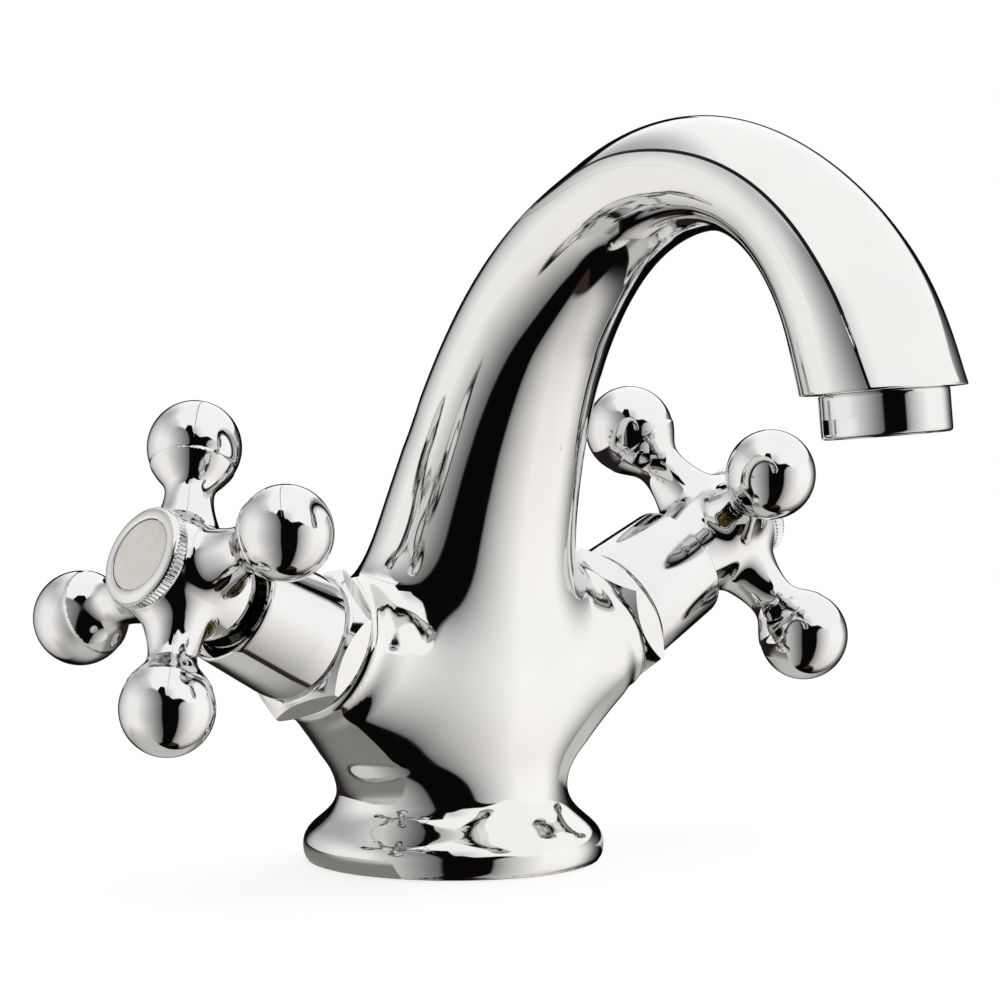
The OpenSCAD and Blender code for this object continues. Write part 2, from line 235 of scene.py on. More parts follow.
M_BODY = chrome("chrome_body", (0.68, 0.676, 0.669), 0.035, 0.05)
M_HANDLE = chrome("chrome_handle", (0.68, 0.676, 0.672), 0.03, 0.03)
M_TRIM = chrome("chrome_trim", (0.676, 0.672, 0.669), 0.045, 0.03)
M_BRASS = plain("brass", (0.70, 0.50, 0.22), (0.78, 0.58, 0.28), 0.28, 420.0, 0.15, 1.0)
M_RUBBER = plain("rubber", (0.012, 0.012, 0.013), (0.03, 0.03, 0.032), 0.62, 900.0, 0.25)
M_STEEL = plain("steel", (0.55, 0.55, 0.55), (0.66, 0.66, 0.66), 0.25, 700.0, 0.1, 1.0)
M_CERAMIC = plain("ceramic", (0.80, 0.79, 0.76), (0.86, 0.85, 0.82), 0.18, 800.0, 0.04)
M_PLASTIC = plain("plastic", (0.72, 0.72, 0.70), (0.78, 0.78, 0.76), 0.42, 650.0, 0.12)


def enamel():
    """Glossy off-white enamel, slightly clouded."""
    m, t, p, co = material("enamel")
    n = t.noise(co, 260.0, 4.0, 0.6)
    t.put(p.inputs["Base Color"], t.mix(t.smooth(n, 0.25, 0.75), (0.76, 0.73, 0.67), (0.83, 0.805, 0.76)))
    t.put(p.inputs["Roughness"], t.add(0.16, t.mul(t.noise(co, 700.0, 3.0), 0.1)))
    t.put(p.inputs["Normal"], t.bump(t.noise(co, 500.0, 2.0), 0.08, 0.0002))
    p.inputs["Coat Weight"].default_value = 0.4
    p.inputs["Coat Roughness"].default_value = 0.08
    return m


M_ENAMEL = enamel()
# painted shade: a near-black finish for the faces of the fine groove along each arris, standing in for the shade that
# falls in that groove
M_PAINTED_GROOVE_SHADE = plain("painted_groove_shade", (0.010, 0.009, 0.009), (0.022, 0.020, 0.019), 0.30, 700.0, 0.05, 0.6)


# ------------------------------------------------------------------ mesh helpers (all lengths in mm until a mesh is made)
def mesh_object(name, verts, faces, mat, normals=None, place=None, sharp=None, extra=()):
    """An object from arrays. normals: one unit normal for each vertex, or for each corner."""
    V = np.asarray(verts, float)
    if place is not None:
        R = np.array(place.to_3x3()); T = np.array(place.translation)
        V = V @ R.T + T
    me = bpy.data.meshes.new(name)
    me.from_pydata((V * MM).tolist(), [], [list(map(int, f)) for f in faces])
    me.validate()
    me.update()
    me.materials.append(mat)
    for m in extra:
        me.materials.append(m)
    me.shade_smooth()
    if sharp is not None:
        me.set_sharp_from_angle(angle=math.radians(sharp))
    if normals is not None:
        Nn = np.asarray(normals, float)
        if place is not None:
            Nn = Nn @ R.T
        if len(Nn) == len(V):
            me.normals_split_custom_set_from_vertices(Nn.tolist())
        else:
            me.normals_split_custom_set(Nn.tolist())
    o = bpy.data.objects.new(name, me)
    scene.collection.objects.link(o)
    return o


def rounded(points, radii, steps=6):
    """A profile with its corners rounded: radii gives one radius for each point, 0 for a sharp one."""
    out = []
    n = len(points)
    P = np.asarray(points, float)
    for i in range(n):
        r = radii[i]
        if i in (0, n - 1) or r <= 0:
            out.append(tuple(P[i]))
            continue
        a, b = P[i - 1] - P[i], P[i + 1] - P[i]
        la, lb = np.linalg.norm(a), np.linalg.norm(b)
        a, b = a / la, b / lb
        half = math.acos(max(-1, min(1, a @ b))) / 2
        cut = min(r / math.tan(half), 0.49 * la, 0.49 * lb)
        rr = cut * math.tan(half)
        mid = (a + b) / np.linalg.norm(a + b)
        c = P[i] + mid * (rr / math.sin(half))
        s, e = P[i] + a * cut - c, P[i] + b * cut - c
        t0, t1 = math.atan2(s[1], s[0]), math.atan2(e[1], e[0])
        d = (t1 - t0 + math.pi) % (2 * math.pi) - math.pi
        for k in range(steps + 1):
            t = t0 + d * k / steps
            out.append((c[0] + rr * math.cos(t), c[1] + rr * math.sin(t)))
    return out


def dense(profile, step):
    """The same profile with long straight parts divided."""
    out = [profile[0]]
    for a, b in zip(profile[:-1], profile[1:]):
        k = max(1, int(math.ceil(math.dist(a, b) / step)))
        out += [(a[0] + (b[0] - a[0]) * j / k, a[1] + (b[1] - a[1]) * j / k) for j in range(1, k + 1)]
    return out


def revolve(profile, n=128):
    """Vertices and faces of a profile (radius, height) turned about Z, from its lowest to its highest point on the outside."""
    verts, rings = [], []
    for r, z in profile:
        if r < 1e-6:
            rings.append([len(verts)])
            verts.append((0.0, 0.0, z))
        else:
            rings.append(list(range(len(verts), len(verts) + n)))
            verts += [(r * math.cos(2 * math.pi * k / n), r * math.sin(2 * math.pi * k / n), z) for k in range(n)]
    faces = []
    for a, b in zip(rings[:-1], rings[1:]):
        for k in range(n):
            k2 = (k + 1) % n
            if len(a) == 1 and len(b) == 1:
                continue
            if len(a) == 1:
                faces.append((a[0], b[k2], b[k]))
            elif len(b) == 1:
                faces.append((a[k], a[k2], b[0]))
            else:
                faces.append((a[k], a[k2], b[k2], b[k]))
    return verts, faces


class Spline:
    """Natural cubic spline through rows of values at the given knots."""

    def __init__(self, t, y):
        self.t, self.y = np.asarray(t, float), np.asarray(y, float)
        n = len(self.t)
        h = np.diff(self.t)
        A = np.zeros((n, n)); B = np.zeros((n, self.y.shape[1]))
        A[0, 0] = A[-1, -1] = 1
        for i in range(1, n - 1):
            A[i, i - 1], A[i, i], A[i, i + 1] = h[i - 1], 2 * (h[i - 1] + h[i]), h[i]
            B[i] = 6 * ((self.y[i + 1] - self.y[i]) / h[i] - (self.y[i] - self.y[i - 1]) / h[i - 1])
        self.m = np.linalg.solve(A, B)
        self.h = h

    def __call__(self, s, d=0):
        s = np.asarray(s, float)
        i = np.clip(np.searchsorted(self.t, s, side="right") - 1, 0, len(self.h) - 1)
        h = self.h[i][..., None]
        a = (self.t[i + 1] - s)[..., None]; b = (s - self.t[i])[..., None]
        m0, m1, y0, y1 = self.m[i], self.m[i + 1], self.y[i], self.y[i + 1]
        if d == 0:
            return m0 * a**3 / (6 * h) + m1 * b**3 / (6 * h) + (y0 / h - m0 * h / 6) * a + (y1 / h - m1 * h / 6) * b
        if d == 1:
            return -m0 * a**2 / (2 * h) + m1 * b**2 / (2 * h) - (y0 / h - m0 * h / 6) + (y1 / h - m1 * h / 6)
        return m0 * a / h + m1 * b / h


def smin(a, b, k):
    h = np.maximum(k - np.abs(a - b), 0) / k
    return np.minimum(a, b) - h * h * h * k / 6


def round_max(a, b, r):
    u, v = np.maximum(a + r, 0), np.maximum(b + r, 0)
    return np.minimum(-r, np.maximum(a, b)) + np.sqrt(u * u + v * v)


def gradient(F, P, e=2e-3):
    g = np.stack([F(P + d) - F(P - d) for d in np.eye(3) * e], 1) / (2 * e)
    return g


def surface_nets(F, lo, hi, h):
    """Quads on the surface F = 0, moved onto it, with the normals that F gives."""
    lo, hi = np.asarray(lo, float), np.asarray(hi, float)
    n = np.ceil((hi - lo) / h).astype(int) + 1
    ax = [lo[i] + h * np.arange(n[i]) for i in range(3)]
    G = np.stack(np.meshgrid(*ax, indexing="ij"), -1).reshape(-1, 3)
    V = np.concatenate([F(G[i:i + 200000]) for i in range(0, len(G), 200000)]).reshape(n)
    del G
    cid = -np.ones(n, int)
    total = np.zeros((n[0], n[1], n[2], 3)); count = np.zeros(n)
    edges = []
    for axis in range(3):
        a = [slice(None)] * 3; b = [slice(None)] * 3
        a[axis], b[axis] = slice(0, -1), slice(1, None)
        va, vb = V[tuple(a)], V[tuple(b)]
        idx = np.argwhere((va < 0) != (vb < 0))
        v0 = va[tuple(idx.T)]; v1 = vb[tuple(idx.T)]
        p = idx.astype(float)
        p[:, axis] += v0 / (v0 - v1)
        o1, o2 = (axis + 1) % 3, (axis + 2) % 3
        ok = (idx[:, o1] > 0) & (idx[:, o2] > 0) & (idx[:, o1] < n[o1] - 1) & (idx[:, o2] < n[o2] - 1)
        for d1 in (0, 1):
            for d2 in (0, 1):
                c = idx.copy(); c[:, o1] -= d1; c[:, o2] -= d2
                good = (c >= 0).all(1)
                np.add.at(total, tuple(c[good].T), p[good])
                np.add.at(count, tuple(c[good].T), 1)
        edges.append((axis, idx[ok], (v0 < 0)[ok]))
    cells = np.argwhere(count > 0)
    cid[tuple(cells.T)] = np.arange(len(cells))
    P = lo + h * total[tuple(cells.T)] / count[tuple(cells.T)][:, None]
    quads = []
    for axis, idx, inside in edges:
        o1, o2 = (axis + 1) % 3, (axis + 2) % 3
        e1, e2 = np.eye(3, dtype=int)[o1], np.eye(3, dtype=int)[o2]
        q = np.stack([cid[tuple((idx - e1 - e2).T)], cid[tuple((idx - e2).T)], cid[tuple(idx.T)], cid[tuple((idx - e1).T)]], 1)
        q[~inside] = q[~inside][:, ::-1]
        quads.append(q)
    Q = np.concatenate(quads)
    for turn_no in range(3):
        if turn_no:
            # even out the net along the surface
            s = np.zeros_like(P); c = np.zeros(len(P))
            for k in range(4):
                np.add.at(s, Q[:, k], P[Q[:, (k + 1) % 4]] + P[Q[:, k - 1]]); np.add.at(c, Q[:, k], 2)
            m = s / np.maximum(c, 1)[:, None] - P
            g = gradient(F, P); g /= np.linalg.norm(g, axis=1)[:, None]
            P = P + 0.5 * (m - (m * g).sum(1)[:, None] * g)
        for _ in range(3):
            g = gradient(F, P)
            P = P - np.clip(F(P) / np.maximum((g * g).sum(1), 0.04), -h, h)[:, None] * g
    g = gradient(F, P)
    return P, Q, g / np.linalg.norm(g, axis=1)[:, None]


# ------------------------------------------------------------------ the body and the spout
STATIONS = np.array([
    [0, 10.5, 23, 12, 2], [0.2, 18.5, 23.5, 12, 2], [1.2, 32, 23.8, 12, 2], [3.2, 46, 22.6, 12, 2],
    [6, 61, 20.6, 12, 2], [10.8, 76.7, 18.4, 11, 2], [16.6, 92, 16.8, 10, 2.5], [23.5, 105.7, 15.4, 9.5, 3],
    [32.7, 117.7, 14, 9, 3.5], [44.8, 128, 12.3, 8.4, 3.8], [60, 135.4, 10.7, 8.2, 4], [77, 137.5, 9.5, 8.2, 4.2],
    [93.6, 133.1, 10.3, 9.2, 4], [106.2, 124.4, 12.3, 11.2, 3.7], [114.6, 113.4, 13.9, 12.3, 4.3],
    [118.7, 104.4, 14.5, 12, 6.2], [119.3, 100, 14.3, 10.9, 9]], float)
KNOTS = np.concatenate([[0], np.cumsum(np.hypot(*np.diff(STATIONS[:, :2], axis=0).T))])


def smooth_rows(t, y, lam):
    """Values near y whose bend changes little along t."""
    n = len(t)
    D = np.zeros((n - 2, n))
    for i in range(n - 2):
        h0, h1 = t[i + 1] - t[i], t[i + 2] - t[i + 1]
        D[i, i], D[i, i + 1], D[i, i + 2] = 1 / h0, -1 / h0 - 1 / h1, 1 / h1
        D[i] *= 2 / (h0 + h1)
    E = np.zeros((n - 3, n))
    for i in range(n - 3):
        E[i] = (D[i + 1] - D[i]) / (t[i + 2] - t[i + 1])
    return np.linalg.solve(np.eye(n) + lam * E.T @ E, y)


ROWS = STATIONS.copy()
for c, lam in ((0, 1e6), (1, 1e6), (2, 1e4), (3, 1e4), (4, 1e4)):
    ROWS[:, c] = smooth_rows(KNOTS, STATIONS[:, c], lam)
# the trunk is slimmer where it melts into the arms
for i, r in ((0, 20.81), (1, 20.81), (2, 23.91), (3, 23.03)):
    ROWS[i, 2] = r
SPINE = Spline(KNOTS, ROWS)
S_END = KNOTS[-1]
TILT = math.radians(26.4)
AXIS = np.array([math.cos(TILT), 0, math.sin(TILT)])
HUB = np.array([70.1, -2.6, 61.9])
FOOT = Spline([-4, 0, 0.8, 1.8, 3.0, 4.2, 5.8, 7.8, 9.8, 11.85, 13.9, 15.9, 18],
              np.array([[28.6], [29.35], [29.95], [30.26], [30.36], [30.25], [29.55], [27.9], [26.0], [24.5], [23.7], [23.55], [23.6]]))


def nearest_table():
    u = np.arange(-45, 151, 1.0); z = np.arange(-12, 166, 1.0)
    s = np.linspace(0, S_END, 480)
    P = SPINE(s)[:, :2]
    out = np.zeros((len(u), len(z)))
    for i, ui in enumerate(u):
        d = (P[:, 0][None] - ui) ** 2 + (P[:, 1][None] - z[:, None]) ** 2
        out[i] = s[d.argmin(1)]
    return u[0], z[0], out


NEAR = nearest_table()


def spine_param(u, z):
    i = np.clip(np.round(u - NEAR[0]).astype(int), 0, NEAR[2].shape[0] - 1)
    j = np.clip(np.round(z - NEAR[1]).astype(int), 0, NEAR[2].shape[1] - 1)
    s = NEAR[2][i, j]
    for _ in range(3):
        P, D, DD = SPINE(s)[:, :2], SPINE(s, 1)[:, :2], SPINE(s, 2)[:, :2]
        e0, e1 = u - P[:, 0], z - P[:, 1]
        g = e0 * D[:, 0] + e1 * D[:, 1]
        h = D[:, 0] ** 2 + D[:, 1] ** 2 - np.minimum(e0 * DD[:, 0] + e1 * DD[:, 1], 0.6)
        s = np.clip(s + np.clip(g / np.maximum(h, 0.2), -4, 4), -14, S_END + 4)
    return s


def column_oval(s, D, L, r):
    """Half width and half depth of the column: an oval, broader from side to side, whose outline in the photo's view has the radius r."""
    k = 1.287 + 0.038 * np.clip((s - 20.0) / 60.0, 0, 1) - 0.10 * np.clip((s - 104.0) / 26.0, 0, 1)
    vn, vx = -0.7564 * D[..., 1] / L + 0.0855 * D[..., 0] / L, -0.6484
    depth = r * np.sqrt((vn * vn + vx * vx) / (k * k * vn * vn + vx * vx))
    return k * depth, depth


def f_tube(P):
    u, z = -P[:, 1], P[:, 2]
    s = spine_param(u, z)
    q, D = SPINE(s), SPINE(s, 1)
    L = np.hypot(D[:, 0], D[:, 1])
    n = (-(u - q[:, 0]) * D[:, 1] + (z - q[:, 1]) * D[:, 0]) / L
    A, B = column_oval(s, D, L, q[:, 2])
    e0 = np.hypot(P[:, 0] / A, n / B)
    e1 = np.hypot(P[:, 0] / A ** 2, n / B ** 2)
    return e0 * (e0 - 1) / np.maximum(e1, 1e-6) / np.sqrt(1 + (D[:, 2] / L) ** 2)


def round_cone(P, a, b, r1, r2):
    ba = b - a; l2 = ba @ ba; rr = r1 - r2; a2 = l2 - rr * rr; il2 = 1 / l2
    pa = P - a
    y = pa @ ba; z = y - l2
    x2 = ((pa * l2 - ba * y[:, None]) ** 2).sum(1)
    y2 = y * y * l2; z2 = z * z * l2
    k = np.sign(rr) * rr * rr * x2
    d = (np.sqrt(x2 * a2 * il2) + y * rr) * il2 - r1
    d = np.where(np.sign(z) * a2 * z2 > k, np.sqrt(x2 + z2) * il2 - r2, d)
    return np.where(np.sign(y) * a2 * y2 < k, np.sqrt(x2 + y2) * il2 - r1, d)


def f_arm(P, side):
    Q = P * np.array([side, 1, 1])
    cone = round_cone(Q, np.array([0, 2.87, 26.26]), HUB + AXIS * -46.96, 21.04, 15.19)
    t = (Q - HUB) @ AXIS
    rho = np.sqrt(np.maximum(((Q - HUB) ** 2).sum(1) - t * t, 0))
    cyl = np.maximum(rho - (14.6 - 0.099 * (-38 - t)), -(t + 62))
    return round_max(smin(cone, cyl, 1.0), t + 37.98, 2.0)


def f_foot(P):
    r = np.hypot(P[:, 0], P[:, 1]); z = np.clip(P[:, 2], -4, 18)
    return (r - FOOT(z)[:, 0]) / np.sqrt(1 + FOOT(z, 1)[:, 0] ** 2)


def f_low(P):
    f = smin(smin(f_arm(P, -1), f_arm(P, 1), 5.7), f_tube(P), 18.1)
    w = np.clip((P[:, 2] - 5.97) / 17.19, 0, 1)
    w = w * w * (3 - 2 * w)
    return f * w + f_foot(P) * (1 - w)


TOP = 84.0     # above this height the body is one tube
OUTLET_TILT = math.radians(6.8)


# The spout's section: a wide shallow hood on its outer side, an arris on each side and an oval below.
# Columns: half width between the arrises, their height over the centre line, half the hood's angle in degrees.
HOOD_S = [60.0, 90.0, 115.0, 131.6, 146.0, 153.1, 160.3, 167.5, 174.6, 181.8, 188.9, 196.1, 203.3, 210.4, 217.6, 224.8]
HOOD = Spline(HOOD_S, np.array([[13.0, 7.2, 36], [13.0, 7.2, 37], [13.1, 7.2, 39], [13.2, 7.0, 42], [13.3, 6.5, 46], [13.5, 6.15, 48.5], [13.5, 5.95, 50], [13.3, 6.1, 48.5],
                                [13.0, 6.4, 45.5], [12.8, 6.7, 42.5], [12.8, 6.9, 40], [12.9, 7.1, 38], [13.05, 7.55, 35], [13.05, 8.25, 33.5], [12.95, 9.2, 33], [12.55, 10.9, 33]]))
ARRIS_R, ARRIS_TURN = 3.0, math.radians(14.0)


def section(s, e, samples):
    """Half of the outline at the place s of the centre line, from the top of the hood round to the bottom:
    rows of x, height over the centre line, and the outline's own normal. e moves it inwards."""
    q, D = SPINE(np.array([s]))[0], SPINE(np.array([s]), 1)[0]
    L = math.hypot(D[0], D[1])
    a, b, d = q[2:]
    vx, vn = -0.6484, -0.7564 * D[1] / L + 0.0855 * D[0] / L
    o = np.array([-vn, vx]) / math.hypot(vn, vx)
    o = o if o[1] > 0 else -o
    phi = math.atan2(o[0], o[1])
    band = o[1] * d + b
    outer = a + 0.5 * (band - a + math.sqrt((band - a) ** 2 + 0.04))
    if s < 120:
        outer = a
    w = min(1.0, max(0.0, (s - 98.0) / 34.0))
    w = w * w * w * (w * (6 * w - 15) + 10)
    xa, na, g = HOOD(np.array([s]))[0]
    g = math.radians(g)
    gam = g + ARRIS_TURN
    mid = 0.5 * (g + gam)
    xi, ni = xa - ARRIS_R * math.sin(mid), na - ARRIS_R * math.cos(mid)
    nh, Ri = ni - xi / math.tan(g), xi / math.sin(g)

    aa, bb = column_oval(s, D, L, a)

    def h_old(t):
        r = math.hypot(aa * math.sin(t), bb * math.cos(t))
        return r, (aa * aa - bb * bb) * math.sin(t) * math.cos(t) / r

    def oval(nb):
        k = math.tan(gam) * xi / (ni + nb)
        c = 1 / (1 + k)
        B = (ni + nb) / (1 + c)
        A = xi / math.sqrt(1 - c * c)
        return A, B, B - nb

    def h_new(t):
        t = abs(t)
        if t < g:
            return nh * math.cos(t) + Ri + ARRIS_R, -nh * math.sin(t)
        if t < gam:
            return xi * math.sin(t) + ni * math.cos(t) + ARRIS_R, xi * math.cos(t) - ni * math.sin(t)
        r = math.sqrt((A * math.sin(t)) ** 2 + (B * math.cos(t)) ** 2)
        return nc * math.cos(t) + r + ARRIS_R, -nc * math.sin(t) + (A * A - B * B) * math.sin(t) * math.cos(t) / r

    lo, hi = 3.0, 16.0
    for _ in range(30):
        nb = 0.5 * (lo + hi)
        A, B, nc = oval(nb)
        if h_new(math.pi - abs(phi))[0] < a:
            lo = nb
        else:
            hi = nb
    A, B, nc = oval(0.5 * (lo + hi))
    h1 = (1 - w) * a + w * h_new(phi)[0]
    h2 = (1 - w) * a + w * h_new(math.pi - abs(phi))[0]
    e1, e2 = outer - h1, a - h2
    c1, c2 = 0.5 * (e1 + e2), 0.5 * (e1 - e2) / math.cos(phi)
    rows = []
    for t in np.concatenate([np.linspace(0, g, samples[0] + 1), np.linspace(g, gam, samples[1] + 1)[1:], np.linspace(gam, math.pi, samples[2] + 1)[1:]]):
        h, hd = h_new(min(t, math.pi - 1e-9))
        ho, hod = h_old(t)
        h = (1 - w) * ho + w * h + c1 + c2 * math.cos(t) - e
        hd = (1 - w) * hod + w * hd - c2 * math.sin(t)
        rows.append((h * math.sin(t) + hd * math.cos(t), h * math.cos(t) - hd * math.sin(t), math.sin(t), math.cos(t)))
    rows[0] = (0.0, rows[0][1], 0.0, 1.0)
    rows[-1] = (0.0, rows[-1][1], 0.0, -1.0)
    # the fine groove along the arris: deepest at its middle, running out before the outlet and behind the bend
    deep = 0.38 * groove_part(s)
    i0, n = samples[0], samples[1]
    if deep > 0.002:
        for j in range(1, n):
            x, y, u, v = rows[i0 + j]
            c = deep * math.sin(math.pi * j / n) ** 2
            rows[i0 + j] = (x - u * c, y - v * c, u, v)
        old = list(rows)
        for j in range(1, n):
            (xa_, ya_), (xb_, yb_) = old[i0 + j - 1][:2], old[i0 + j + 1][:2]
            l = math.hypot(xb_ - xa_, yb_ - ya_)
            rows[i0 + j] = (old[i0 + j][0], old[i0 + j][1], (ya_ - yb_) / l, (xb_ - xa_) / l)
    return rows


def groove_part(s):
    a = min(1.0, max(0.0, (s - 120.0) / 12.0)) * min(1.0, max(0.0, (S_END - 5.0 - s) / 9.0))
    return a * a * (3 - 2 * a)


def spout_mesh():
    """Rings of the spout from the height TOP to the outlet: places along it, points and normals."""
    s0 = spine_param(np.array([13.3]), np.array([TOP]))[0]
    ss = np.concatenate([np.linspace(s0, S_END - 0.5, 230), [S_END - 0.25, S_END - 0.1, S_END - 0.02, S_END]])
    inset = np.zeros(len(ss)); inset[-3:] = (0.05, 0.17, 0.42)
    H = np.array([section(s, e, (16, 8, 36)) for s, e in zip(ss, inset)])
    ring = np.concatenate([H, H[:, -2:0:-1] * np.array([-1, 1, -1, 1])], 1)
    D = SPINE(ss, 1); C = SPINE(ss)
    L = np.hypot(D[:, 0], D[:, 1])[:, None]
    Tu, Tz = D[:, :1] / L, D[:, 1:2] / L
    P = np.stack([ring[..., 0], -(C[:, :1] - Tz * ring[..., 1]), C[:, 1:2] + Tu * ring[..., 1]], -1)
    n2 = np.stack([ring[..., 2], Tz * ring[..., 3], Tu * ring[..., 3]], -1)
    T3 = np.stack([np.zeros_like(Tu), -Tu, Tz], -1)
    # the outlet's face lies level with the aerator's seat, so the last rings are turned a little about X
    ax = np.array([0, -math.sin(OUTLET_TILT), -math.cos(OUTLET_TILT)])
    t_end = T3[-1, 0]
    late = np.clip((ss - (S_END - 22.0)) / 22.0, 0, 1)[:, None]
    late = late * late * (3 - 2 * late)
    n_mid = 1.0
    n3 = np.array([0, t_end[2], -t_end[1]])
    lean = (n3 @ ax) / (t_end @ ax)
    P = P - T3 * (late * lean * (ring[..., 1] - n_mid))[..., None]
    dP = np.gradient(P, ss, axis=0)
    N = n2 - (n2 * dP).sum(-1, keepdims=True) / np.maximum((T3 * dP).sum(-1, keepdims=True), 0.2) * T3
    N /= np.linalg.norm(N, axis=-1, keepdims=True)
    N[-3:] = N[-4] + np.array([0.15, 0.5, 1.2])[:, None, None] * T3[-3:]
    N /= np.linalg.norm(N, axis=-1, keepdims=True)
    return ss, P, N


def build_spout_lower():
    """One closed skin: the foot, waist, arms and column as a net on their blended surface, joined to the rings of the spout."""
    P, Q, Nn = surface_nets(f_low, (-50, -34, -3), (50, 34, TOP + 2.2), 0.8)
    ss, R, RN = spout_mesh()
    m = R.shape[1]
    verts, faces, norms = [tuple(p) for p in P], [tuple(q) for q in Q], [tuple(v) for v in Nn]
    # cut the net level at the foot and at TOP
    z = P[:, 2]
    keep = [(z[list(q)] < TOP).all() and (z[list(q)] > 0.0).all() for q in Q]
    Q = Q[np.array(keep)]
    # border loops
    half = {}
    for q in Q:
        for k in range(4):
            half[(q[k], q[(k + 1) % 4])] = True
    border = {a: b for (a, b) in half if (b, a) not in half}
    loops = []
    left_over = dict(border)
    while left_over:
        a = next(iter(left_over))
        loop = [a]
        b = left_over.pop(a)
        while b != loop[0]:
            loop.append(b)
            b = left_over.pop(b)
        loops.append(loop)
    loops.sort(key=len, reverse=True)
    low = min(loops[:2], key=lambda l: z[l].mean())
    high = max(loops[:2], key=lambda l: z[l].mean())
    verts = P.tolist(); norms = Nn.tolist(); faces = [tuple(map(int, q)) for q in Q]

    def append(points, normals):
        i0 = len(verts)
        verts.extend(np.asarray(points).tolist()); norms.extend(np.asarray(normals).tolist())
        return list(range(i0, i0 + len(points)))

    def zipper(a, b, ang_a, ang_b):
        """Triangles between two loops that both turn the same way; a's faces are below b's."""
        a = [a[i] for i in np.argsort(ang_a)]; b = [b[i] for i in np.argsort(ang_b)]
        ta, tb = np.sort(ang_a), np.sort(ang_b)
        ta = np.append(ta, ta[0] + 2 * math.pi); tb = np.append(tb, tb[0] + 2 * math.pi)
        a.append(a[0]); b.append(b[0])
        i = j = 0
        while i < len(a) - 1 or j < len(b) - 1:
            if j >= len(b) - 1 or (i < len(a) - 1 and ta[i + 1] <= tb[j + 1]):
                faces.append((a[i], a[i + 1], b[j])); i += 1
            else:
                faces.append((a[i], b[j + 1], b[j])); j += 1

    # foot: an exact ring at z = 0 with a fine rounded edge
    na = 192
    ang = 2 * np.pi * np.arange(na) / na
    ring_dir = np.stack([np.cos(ang), np.sin(ang), 0 * ang], 1)
    r0 = float(FOOT(np.array([0.35]))[0, 0])
    foot_a = append(ring_dir * r0 + [0, 0, 0.35], ring_dir * 0.97 + [0, 0, -0.24])
    foot_b = append(ring_dir * (r0 - 0.12) + [0, 0, 0.1], ring_dir * 0.7 + [0, 0, -0.7])
    foot_c = append(ring_dir * (r0 - 0.4) + [0, 0, 0.0], ring_dir * 0.1 + [0, 0, -1])
    la = [i for i in low]
    zipper(foot_a, la, ang, np.arctan2(P[la, 1], P[la, 0]) % (2 * np.pi))
    for u, v in ((foot_b, foot_a), (foot_c, foot_b)):
        for k in range(na):
            k2 = (k + 1) % na
            faces.append((u[k], u[k2], v[k2], v[k]))
    # underside: flat ring, a groove for the seal, flat middle
    down = np.tile([0, 0, -1.0], (na, 1))
    prev = foot_c
    for r, zz, nv in ((27.5, 0, down), (27.5, 0, -ring_dir), (27.5, 2.2, -ring_dir), (27.5, 2.2, down), (24.0, 2.2, down), (24.0, 2.2, ring_dir),
                      (24.0, 0, ring_dir), (24.0, 0, down)):
        cur = append(ring_dir * r + [0, 0, zz], nv)
        if not (prev is not foot_c and np.allclose(np.array(verts[prev[0]]), np.array(verts[cur[0]]))):
            for k in range(na):
                k2 = (k + 1) % na
                faces.append((cur[k], cur[k2], prev[k2], prev[k]))
        prev = cur
    centre = append([[0, 0, 0]], [[0, 0, -1]])[0]
    for k in range(na):
        faces.append((centre, prev[(k + 1) % na], prev[k]))

    # spout: rings above the height TOP + 1.2 on every side
    start = next(i for i in range(len(ss)) if R[i][:, 2].min() > TOP + 0.5)
    rings = [append(R[i], RN[i]) for i in range(start, len(ss))]
    # faces of the arris groove that are painted dark as shade
    painted_shade_faces = []
    hi_loop = list(high)
    c = SPINE(spine_param(np.array([13.3]), np.array([TOP])))[0]
    cen = np.array([0.0, -c[0]])
    first = rings[0]
    RA = np.array([verts[i] for i in first])
    n_tube = m
    # drop repeated points where the band has not begun
    uniq = {}
    for ring_ids in rings:
        pts = np.round(np.array([verts[i] for i in ring_ids]), 5)
        for i, p in zip(ring_ids, map(tuple, pts)):
            uniq.setdefault((ring_ids[0],) + p, i)
            if uniq[(ring_ids[0],) + p] != i:
                uniq[i] = uniq[(ring_ids[0],) + p]
    same = {k: v for k, v in uniq.items() if isinstance(k, int)}
    ids = [[same.get(i, i) for i in r] for r in rings]
    f0 = list(dict.fromkeys(ids[0]))
    pts0 = np.array([verts[i] for i in f0])
    zipper([i for i in hi_loop], f0, np.arctan2(P[hi_loop, 1] - cen[1], P[hi_loop, 0]) % (2 * np.pi),
           np.arctan2(pts0[:, 1] - cen[1], pts0[:, 0]) % (2 * np.pi))
    for i, (r0_, r1_) in enumerate(zip(ids[:-1], ids[1:])):
        part = groove_part(ss[start + i])
        for k in range(m):
            k2 = (k + 1) % m
            f = [r0_[k2], r0_[k], r1_[k], r1_[k2]]
            f = [v for n_, v in enumerate(f) if v not in f[:n_]]
            if len(f) > 2:
                j = min(k, m - 1 - k) - 16 + 0.5       # place across the groove, 0 to 8
                # the middle of the groove is painted near-black as shade
                if part > 0.02 and abs(j - 4) < 4.2 * part:
                    painted_shade_faces.append(len(faces))
                faces.append(tuple(f))
